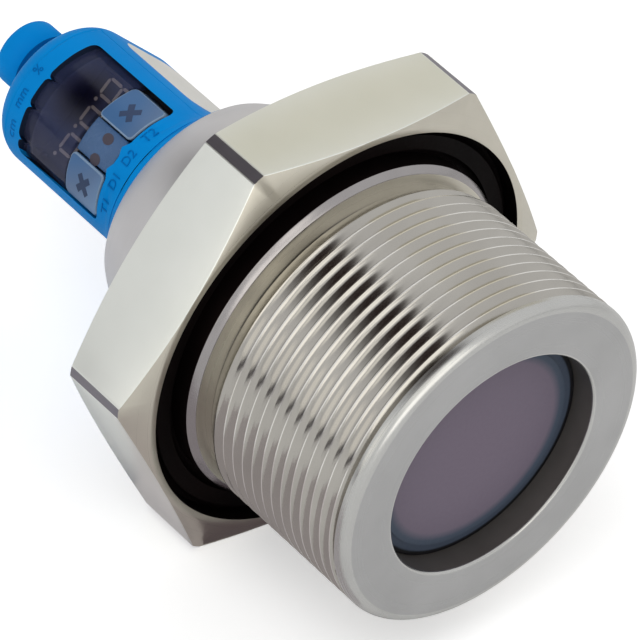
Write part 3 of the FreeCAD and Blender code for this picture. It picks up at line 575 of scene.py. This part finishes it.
def steel_body():
    """Threaded sleeve without its turns, seal recess and hexagon."""
    bm = bmesh.new()
    bore_edge, rim = chain(bm, [(BORE, 0.0), (CREST, 0.0)])
    sleeve = chain(bm, [
        (CREST, THREAD_FRONT), (SLEEVE_RADIUS, THREAD_FRONT), (SLEEVE_RADIUS, RELIEF_FRONT),
        (RELIEF_RADIUS, RELIEF_FLOOR), (RELIEF_RADIUS, HUB_FRONT)])
    hub = chain(bm, [(HUB_RADIUS - HUB_BEVEL, HUB_FRONT), (HUB_RADIUS, HUB_FRONT + HUB_BEVEL)])
    recess = chain(bm, [(HUB_RADIUS, RECESS_FLOOR), (RECESS_RADIUS, RECESS_FLOOR)])
    front = chain(bm, [(RECESS_RADIUS, HEX_FRONT), (FRONT_RADIUS, HEX_FRONT)])
    bar = chain(bm, [(BAR_RADIUS, CORNER_FRONT), (BAR_RADIUS, CORNER_REAR)])
    rear = chain(bm, [(REAR_RADIUS, HEX_REAR)])
    seat = chain(bm, [(SLEEVE_BORE, HEX_REAR), (SLEEVE_BORE, SLEEVE_SHOULDER), (BORE, SLEEVE_SHOULDER)])
    stretches = [[bore_edge, rim], sleeve, hub, recess, front, bar, rear, seat]
    for before, after in zip(stretches, stretches[1:] + stretches[:1]):
        bm.edges.new((before[-1], after[0]))
    soften(bm, [bore_edge], BORE_ROUND, 3)
    soften(bm, [rim], RIM_ROUND, 9)
    soften(bm, hub, EDGE_ROUND, 2)
    soften(bm, front + rear, EDGE_ROUND, 2)
    turn(bm)
    flats = []
    for side in range(6):
        turned = math.radians(60 * side)
        out = Vector((math.sin(turned), 0, math.cos(turned)))
        cut = bmesh.ops.bisect_plane(bm, geom=everything(bm), dist=ON_PLANE, plane_co=out * HEX_FLAT * MM,
                                     plane_no=out, clear_outer=True)
        loop = [item for item in cut["geom_cut"] if isinstance(item, bmesh.types.BMEdge)]
        flats += bmesh.ops.contextual_create(bm, geom=loop)["faces"]
    finishes = [TURNED, MILLED, FACED, EDGE_HIGHLIGHT_STEEL, HUB_STEEL, CUT_THREAD, PAINTED_BORE_SHADE, BAR_SKIN, PAINTED_RECESS_SHADE]
    for face in bm.faces:
        finish = MILLED if face in flats else steel_finish(face.calc_center_median())
        face.material_index = finishes.index(finish)
    flat_edges = [edge for edge in bm.edges if len(edge.link_faces) == 2
                  and (edge.link_faces[0] in flats) != (edge.link_faces[1] in flats)]
    bmesh.ops.bevel(bm, geom=flat_edges, offset=FLAT_EDGE_ROUND * MM, offset_type="OFFSET", affect="EDGES",
                    segments=2, profile=0.5, material=finishes.index(MILLED))
    piece = settle(bm, "steel_body", finishes, "sensor", STEEL_CREASE)
    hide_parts("process_body")


def domed_neck():
    """The neck behind the hexagon: a dome with the seat of the head in its end face."""
    bm = bmesh.new()
    foot_angle = math.atan2(HEX_REAR - DOME_CENTRE, DOME_FOOT)
    neck_angle = math.atan2(NECK_END - DOME_CENTRE, NECK_RADIUS)
    front, foot = chain(bm, [(SLEEVE_BORE, HEX_REAR), (DOME_FOOT, HEX_REAR)])
    dome = bmesh.ops.spin(bm, geom=[foot], cent=(0, (DOME_CENTRE - THREAD_START) * MM, 0), axis=(0, 0, 1),
                          angle=neck_angle - foot_angle, steps=DOME_STEPS)
    neck = only_verts(dome["geom_last"])[0]
    inner = chain(bm, [
        (SPIGOT_BORE, NECK_END), (SPIGOT_BORE, SPIGOT_SEAT), (NECK_HOLE, SPIGOT_SEAT),
        (NECK_HOLE, NECK_FRONT), (SLEEVE_BORE, NECK_FRONT)])
    bm.edges.new((neck, inner[0]))
    bm.edges.new((inner[-1], front))
    soften(bm, [neck], NECK_ROUND, 2)
    turn(bm)
    piece = settle(bm, "domed_neck", [NECK_STEEL], "sensor", STEEL_CREASE)
    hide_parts("neck_dome")


def screw_thread():
    """The turns of the G 2 thread behind the rim's edge, with softly shaded roots and crests painted lighter
    as a painted highlight.
    """
    overlap, crest_band, root_band = 0.1, 0.05, 0.17
    sharp_crest, sharp_root = 0.5, 2.1
    bm = bmesh.new()
    ridge = [(THREAD_ROOT, -THREAD_PITCH / 2), (CREST, -CREST_HALF), (CREST, CREST_HALF),
             (THREAD_ROOT, THREAD_PITCH / 2)]
    chain(bm, [(reach, place + THREAD_PHASE) for reach, place in ridge])
    bmesh.ops.spin(bm, geom=bm.edges[:], cent=(0, 0, 0), axis=(0, 1, 0),
                   dvec=(0, THREAD_PITCH / THREAD_STEPS * MM, 0), angle=2 * math.pi, steps=THREAD_STEPS,
                   use_merge=False)
    first_turn = everything(bm)
    for number in range(1, THREAD_TURNS):
        copied = bmesh.ops.duplicate(bm, geom=first_turn)["geom"]
        bmesh.ops.translate(bm, verts=only_verts(copied), vec=(0, number * THREAD_PITCH * MM, 0))
    bmesh.ops.remove_doubles(bm, verts=bm.verts, dist=WELD)
    # The turns start inside the rim and run out into the sleeve in front of the hub
    for vert in bm.verts:
        z, reach = axis_place(vert.co), axis_reach(vert.co)
        kept = min(max(z, THREAD_FRONT - overlap), THREAD_REAR)
        wanted = min(reach, THREAD_CORE + max(0.0, THREAD_REAR - z) * RUN_OUT_SLOPE)
        if kept != z:
            wanted = THREAD_CORE
        vert.co.x *= wanted / reach
        vert.co.z *= wanted / reach
        vert.co.y = (kept - THREAD_START) * MM
    bmesh.ops.remove_doubles(bm, verts=bm.verts, dist=WELD)
    bmesh.ops.dissolve_degenerate(bm, edges=bm.edges, dist=WELD / 2)
    bmesh.ops.bridge_loops(bm, edges=[edge for edge in bm.edges if edge.is_boundary])
    bmesh.ops.recalc_face_normals(bm, faces=bm.faces)
    for edge in bm.edges:
        in_root = max(axis_reach(vert.co) for vert in edge.verts) < THREAD_ROOT + root_band
        edge.smooth = edge.calc_face_angle(0.0) < (sharp_root if in_root else sharp_crest)
    # Faces on the crest get the painted highlight
    for face in bm.faces:
        on_crest = min(axis_reach(vert.co) for vert in face.verts) > CREST - crest_band
        face.material_index = 1 if on_crest else 0
    settle(bm, "screw_thread", [CUT_THREAD, CREST_HIGHLIGHT_STEEL], "sensor", None)


steel_body()
domed_neck()
screw_thread()
smooth_solid("head_housing", [HEAD_BLUE, GROOVE_SHADE_BLUE], "sensor", plug_groove_shade)
smooth_solid("display_bezel", [HEAD_BLUE, WINDOW_SHADE], "sensor", window_wall)
smooth_solid("display_window", [SMOKED_LENS_REFLECTION], "sensor")
smooth_solid("key_bridge", [BRIDGE_CLEAR], "sensor")
smooth_solid("key_t1", [KEY_CLEAR_PAINTED_LIGHT, KEY_EDGE_HIGHLIGHT], "key_t1", highlit_key_edge)
smooth_solid("key_t2", [KEY_CLEAR_PAINTED_LIGHT, KEY_EDGE_HIGHLIGHT], "key_t2", highlit_key_edge)


# Marks on the head, drawn flat in millimetres across v and z

def bend_over(bm, bend, lift):
    """Lay a flat piece over the curved front of the head."""
    for vert in bm.verts:
        vert.co = bent_place(vert.co.x, vert.co.y, bend, lift + vert.co.z)


def legend(name, words, v, z):
    """One raised legend on the cover."""
    curve = bpy.data.curves.new("legend_line", "FONT")
    curve.body = words
    curve.align_x = "CENTER"
    curve.align_y = "CENTER"
    curve.size = LEGEND_TALL
    curve.extrude = LEGEND_RAISED
    flat = bpy.data.objects.new("legend_line", curve)
    mesh = bpy.data.meshes.new_from_object(flat)
    bm = bmesh.new()
    bm.from_mesh(mesh)
    bpy.data.objects.remove(flat)
    bpy.data.curves.remove(curve)
    bpy.data.meshes.remove(mesh)
    bmesh.ops.remove_doubles(bm, verts=bm.verts, dist=FLAT_WELD)
    bmesh.ops.translate(bm, verts=bm.verts, vec=(v, z, 0))
    bend_over(bm, HEAD_BEND, MARK_LIFT)
    settle(bm, name, [LEGEND_BLUE], "sensor")


legend("legend_t1", "T1", -7.65, 74.5)
legend("legend_d1", "D1", -3.49, 74.6)
legend("legend_d2", "D2", 0.84, 74.7)
legend("legend_t2", "T2", 5.52, 75.0)
legend("legend_percent", "%", 1.82, 99.0)
legend("legend_mm", "mm", -3.36, 98.75)
legend("legend_cm", "cm", -8.3, 98.5)


def key_cross(name, v, z, body):
    """The cross on a key: two bars, one a hair above the other."""
    long, wide, step = 3.3, 1.0, 0.004
    bm = bmesh.new()
    for slant, height in ((45, step), (-45, 0)):
        bar = bmesh.ops.create_grid(bm, x_segments=8, y_segments=2, size=0.5)["verts"]
        bmesh.ops.scale(bm, verts=bar, vec=(long, wide, 1))
        bmesh.ops.rotate(bm, verts=bar, cent=(0, 0, 0), matrix=slanted(slant))
        bmesh.ops.translate(bm, verts=bar, vec=(0, 0, height))
    bmesh.ops.solidify(bm, geom=bm.faces, thickness=MARK_THICK)
    bmesh.ops.translate(bm, verts=bm.verts, vec=(v, z, 0))
    bend_over(bm, KEY_BEND, MARK_LIFT)
    bmesh.ops.recalc_face_normals(bm, faces=bm.faces)
    settle(bm, name, [MARK_SLATE], body)


key_cross("key_t1_cross", -7.6, 80.75, "key_t1")
key_cross("key_t2_cross", 6.05, 81.0, "key_t2")


def lamp_dot(name, v, z):
    """A lamp seen through the light guide."""
    radius, stretch = 0.95, 1.15
    bm = bmesh.new()
    bmesh.ops.create_circle(bm, cap_ends=True, segments=32, radius=radius)
    bmesh.ops.scale(bm, verts=bm.verts, vec=(1.0, stretch, 1))
    bmesh.ops.translate(bm, verts=bm.verts, vec=(v, z, 0))
    bmesh.ops.solidify(bm, geom=bm.faces, thickness=LAMP_THICK)
    bend_over(bm, BRIDGE_BEND, LAMP_LIFT)
    bmesh.ops.recalc_face_normals(bm, faces=bm.faces)
    settle(bm, name, [LAMP_BROWN], "sensor")


lamp_dot("lamp_d1", -3.1, 80.8)
lamp_dot("lamp_d2", 0.75, 80.85)


def digit(name, v, z):
    """Seven segments and a point on the face of the display module."""
    wide, tall, bar, gap = 3.1, 6.0, 0.55, 0.25
    point_radius, point_off = 0.34, 1.0
    bm = bmesh.new()
    segments = [(0, tall / 2, 0), (0, 0, 0), (0, -tall / 2, 0)]
    segments += [(x * wide / 2, y * tall / 4, 90) for x in (-1, 1) for y in (-1, 1)]
    for x, y, slant in segments:
        length = (wide if slant == 0 else tall / 2) - gap
        strip = bmesh.ops.create_grid(bm, x_segments=2, y_segments=2, size=0.5)["verts"]
        bmesh.ops.scale(bm, verts=strip, vec=(length, bar, 1))
        # Both long edges of a segment are shorter than its middle, so that its ends are pointed
        for vert in strip:
            if abs(vert.co.y) > 0.1 * bar:
                vert.co.x *= (length - bar) / length
        bmesh.ops.rotate(bm, verts=strip, cent=(0, 0, 0), matrix=slanted(slant))
        bmesh.ops.translate(bm, verts=strip, vec=(x, y, 0))
    point = bmesh.ops.create_circle(bm, cap_ends=True, segments=16, radius=point_radius)["verts"]
    bmesh.ops.translate(bm, verts=point, vec=(-wide / 2 - point_off, tall / 2, 0))
    bmesh.ops.translate(bm, verts=bm.verts, vec=(v, z, 0))
    bmesh.ops.solidify(bm, geom=bm.faces, thickness=MARK_THICK)
    for vert in bm.verts:
        vert.co = head_place(DISPLAY_FACE + vert.co.z, vert.co.x, vert.co.y)
    bmesh.ops.recalc_face_normals(bm, faces=bm.faces)
    settle(bm, name, [SEGMENT_BEIGE], "sensor")


for name, v in (("digit_left", -4.75), ("digit_middle", 0.65), ("digit_right", 6.1)):
    digit(name, v, DIGIT_ROW)


def bare_plate():
    """The bare plate on the head's flank, drawn flat along u and z and bent round the flank's front edge."""
    wide, tall, corner = 15.4, 19.4, 2.8
    middle = (0.6, 87.7, 0)
    bends, bend_step = 8, 0.25
    bm = bmesh.new()
    bmesh.ops.create_grid(bm, x_segments=1, y_segments=1, size=0.5)
    bmesh.ops.scale(bm, verts=bm.verts, vec=(wide, tall, 1))
    bmesh.ops.bevel(bm, geom=bm.verts[:], offset=corner, affect="VERTICES", segments=8, profile=0.5,
                    material=-1)
    bmesh.ops.translate(bm, verts=bm.verts, vec=middle)
    for number in range(bends):
        bmesh.ops.bisect_plane(bm, geom=everything(bm), dist=FLAT_ON_PLANE, plane_no=(1, 0, 0),
                               plane_co=(BEND_CENTRE + bend_step * number, 0, 0))
    bmesh.ops.solidify(bm, geom=bm.faces, thickness=PLATE_THICK)
    for vert in bm.verts:
        along, z, lift = vert.co
        reach = HEAD_BEND + lift
        if along > BEND_CENTRE:
            angle = math.pi / 2 - (along - BEND_CENTRE) / HEAD_BEND
            vert.co = head_place(BEND_CENTRE + reach * math.cos(angle), reach * math.sin(angle), z)
        else:
            vert.co = head_place(along, reach, z)
    bmesh.ops.recalc_face_normals(bm, faces=bm.faces)
    settle(bm, "bare_plate", [PLATE_PALE], "sensor")


bare_plate()


# Floor, light and camera, in metres

def stage_sheet(name, centre, size, facing, colour):
    """A dull flat sheet of the studio; without a facing it lies level."""
    bm = bmesh.new()
    bmesh.ops.create_grid(bm, x_segments=1, y_segments=1, size=0.5)
    bmesh.ops.scale(bm, verts=bm.verts, vec=(size[0], size[1], 1))
    if facing is not None:
        tilt = Vector((0, 0, 1)).rotation_difference(Vector(facing).normalized()).to_matrix()
        bmesh.ops.rotate(bm, verts=bm.verts, cent=(0, 0, 0), matrix=tilt)
    bmesh.ops.translate(bm, verts=bm.verts, vec=centre)
    mesh = bpy.data.meshes.new(name)
    bm.to_mesh(mesh)
    bm.free()
    finish, nodes, links, shader = new_finish(name, colour, roughness=0.9)
    shader.inputs["Specular IOR Level"].default_value = 0.0
    mesh.materials.append(finish)
    sheet = bpy.data.objects.new(name, mesh)
    bpy.context.scene.collection.objects.link(sheet)
    return sheet, nodes, links, shader


def pale_floor():
    """White to the camera where nothing shades it, and pale where the part's shadow falls."""
    wide, glow_strength = 6, 0.45
    nodes, links, shader = stage_sheet("pale_floor", (0, 0, FLOOR_LEVEL), (wide, wide), None,
                                       (0.86, 0.86, 0.86))[1:]
    path = nodes.new("ShaderNodeLightPath")
    glow = nodes.new("ShaderNodeMath")
    glow.operation = "MULTIPLY"
    glow.inputs[1].default_value = glow_strength
    links.new(path.outputs["Is Camera Ray"], glow.inputs[0])
    shader.inputs["Emission Color"].default_value = (1, 1, 1, 1)
    links.new(glow.outputs["Value"], shader.inputs["Emission Strength"])


def shine_card(name, centre, size, facing, colour):
    """A glowing or dark card beside the part, seen only where the part mirrors it."""
    sheet, nodes, links, shader = stage_sheet(name, centre, size, facing, (0, 0, 0))
    shader.inputs["Emission Color"].default_value = (*colour, 1)
    shader.inputs["Emission Strength"].default_value = 1.0
    sheet.visible_camera = False
    sheet.visible_shadow = False
    sheet.visible_diffuse = False
    sheet.visible_transmission = False
    return nodes, links, shader


def ceiling_gap(centre, size, steps):
    """The dark gap over the scene, fading on both sides; steps are pairs of place along x and colour."""
    nodes, links, shader = shine_card("ceiling_gap", centre, size, None, (0, 0, 0))
    split = nodes.new("ShaderNodeSeparateXYZ")
    links.new(object_place(nodes), split.inputs["Vector"])
    ramp = colour_ramp(nodes, links, split.outputs["X"], steps)
    ramp.color_ramp.interpolation = "EASE"
    links.new(ramp.outputs["Color"], shader.inputs["Emission Color"])


def soft_lamp(name, place, size, power, tint=(1, 1, 1)):
    """A square lamp turned to the middle of the part, and not mirrored in it."""
    aim = Vector((0, 0.04, 0))
    lamp = bpy.data.lights.new(name, "AREA")
    lamp.shape = "RECTANGLE"
    lamp.size = size
    lamp.size_y = size
    lamp.energy = power
    lamp.color = tint
    holder = bpy.data.objects.new(name, lamp)
    holder.location = place
    holder.rotation_euler = (aim - Vector(place)).to_track_quat("-Z", "Y").to_euler()
    holder.visible_glossy = False
    bpy.context.scene.collection.objects.link(holder)


def surroundings():
    """A white studio, brighter where it is seen, mirrored or looked at through the lens."""
    world = bpy.data.worlds.new("studio")
    bpy.context.scene.world = world
    world.use_nodes = True
    nodes, links = world.node_tree.nodes, world.node_tree.links
    light = nodes["Background"]
    light.inputs["Color"].default_value = (1, 1, 1, 1)
    path = nodes.new("ShaderNodeLightPath")
    seen = nodes.new("ShaderNodeMath")
    seen.operation = "ADD"
    links.new(path.outputs["Is Camera Ray"], seen.inputs[0])
    links.new(path.outputs["Is Glossy Ray"], seen.inputs[1])
    both = nodes.new("ShaderNodeMath")
    both.operation = "ADD"
    both.use_clamp = True
    links.new(seen.outputs["Value"], both.inputs[0])
    links.new(path.outputs["Is Transmission Ray"], both.inputs[1])
    level = nodes.new("ShaderNodeMapRange")
    level.inputs["To Min"].default_value = STUDIO_LIGHT
    level.inputs["To Max"].default_value = STUDIO_SEEN
    links.new(both.outputs["Value"], level.inputs["Value"])
    links.new(level.outputs["Result"], light.inputs["Strength"])


surroundings()
pale_floor()

# Dark gap overhead, from the studio's own brightness down to the gap and back
STUDIO_GREY = (STUDIO_SEEN, STUDIO_SEEN, STUDIO_SEEN)
GAP_DARK = (0.035, 0.024, 0.022)
ceiling_gap((-0.60, 1.25, 0.8), (1.20, 3.2), [
    (-1.20, STUDIO_GREY), (-0.30, GAP_DARK), (-0.12, GAP_DARK), (0.0, STUDIO_GREY)])

# Windows, boards and the edge of a table round the part
TO_REAR = (0, 1, 0)
TO_RIGHT = (1, 0, 0)
WINDOW_LIGHT = (1.65, 1.62, 1.54)
shine_card("table_edge", (-0.28, 0.165, -0.022), (0.036, 0.34), TO_RIGHT, (0.03, 0.02, 0.03))
shine_card("warm_board", (0.78, 0.78, 0.90), (0.9, 0.9), (-0.56, -0.54, -0.63), (0.58, 0.55, 0.46))
shine_card("front_window", (0.06, -1.0, 0.24), (0.40, 0.66), TO_REAR, WINDOW_LIGHT)
shine_card("upper_window", (-0.20, -0.95, 0.86), (0.46, 0.56), TO_REAR, WINDOW_LIGHT)
shine_card("rim_window", (-0.37, -1.02, 0.24), (0.58, 0.56), TO_REAR, (1.75, 1.72, 1.64))
shine_card("left_window", (-1.0, -0.12, 0.24), (0.50, 0.80), TO_RIGHT, (1.05, 1.03, 0.98))
shine_card("camera_window", (-0.62, -0.62, 0.66), (0.40, 0.40), (0.55, 0.55, -0.6), (1.15, 1.13, 1.07))

# Shades that lie just over the floor
SHADE_LEVEL = FLOOR_LEVEL + 0.4 * MM
shine_card("foot_shade", (-0.0244, 0.055, SHADE_LEVEL), (0.0040, 0.060), None, (0.16, 0.16, 0.19))
shine_card("cone_shade", (-0.015, 0.0327, SHADE_LEVEL), (0.030, 0.0096), None, (0.10, 0.08, 0.09))
shine_card("floor_shade", (-0.060, 0.022, SHADE_LEVEL), (0.080, 0.060), None, (0.45, 0.42, 0.43))

soft_lamp("key_light", (-0.55, -0.25, 0.95), 0.7, 4.5)
soft_lamp("side_light", (0.75, 0.15, 0.70), 0.6, 1.6, tint=(1.0, 0.97, 0.93))

view = bpy.data.cameras.new("photo_view")
view.sensor_width = 36.0
view.lens = 329.41
view.clip_start = 0.05
view.clip_end = 20.0
camera = bpy.data.objects.new("photo_view", view)
camera.location = (-0.5112564, -0.4497969, 0.5736538)
camera.rotation_euler = [math.radians(angle) for angle in (50.4162, -8.0602, -39.6785)]
bpy.context.scene.collection.objects.link(camera)
bpy.context.scene.camera = camera
bpy.context.scene.view_settings.view_transform = "Standard"
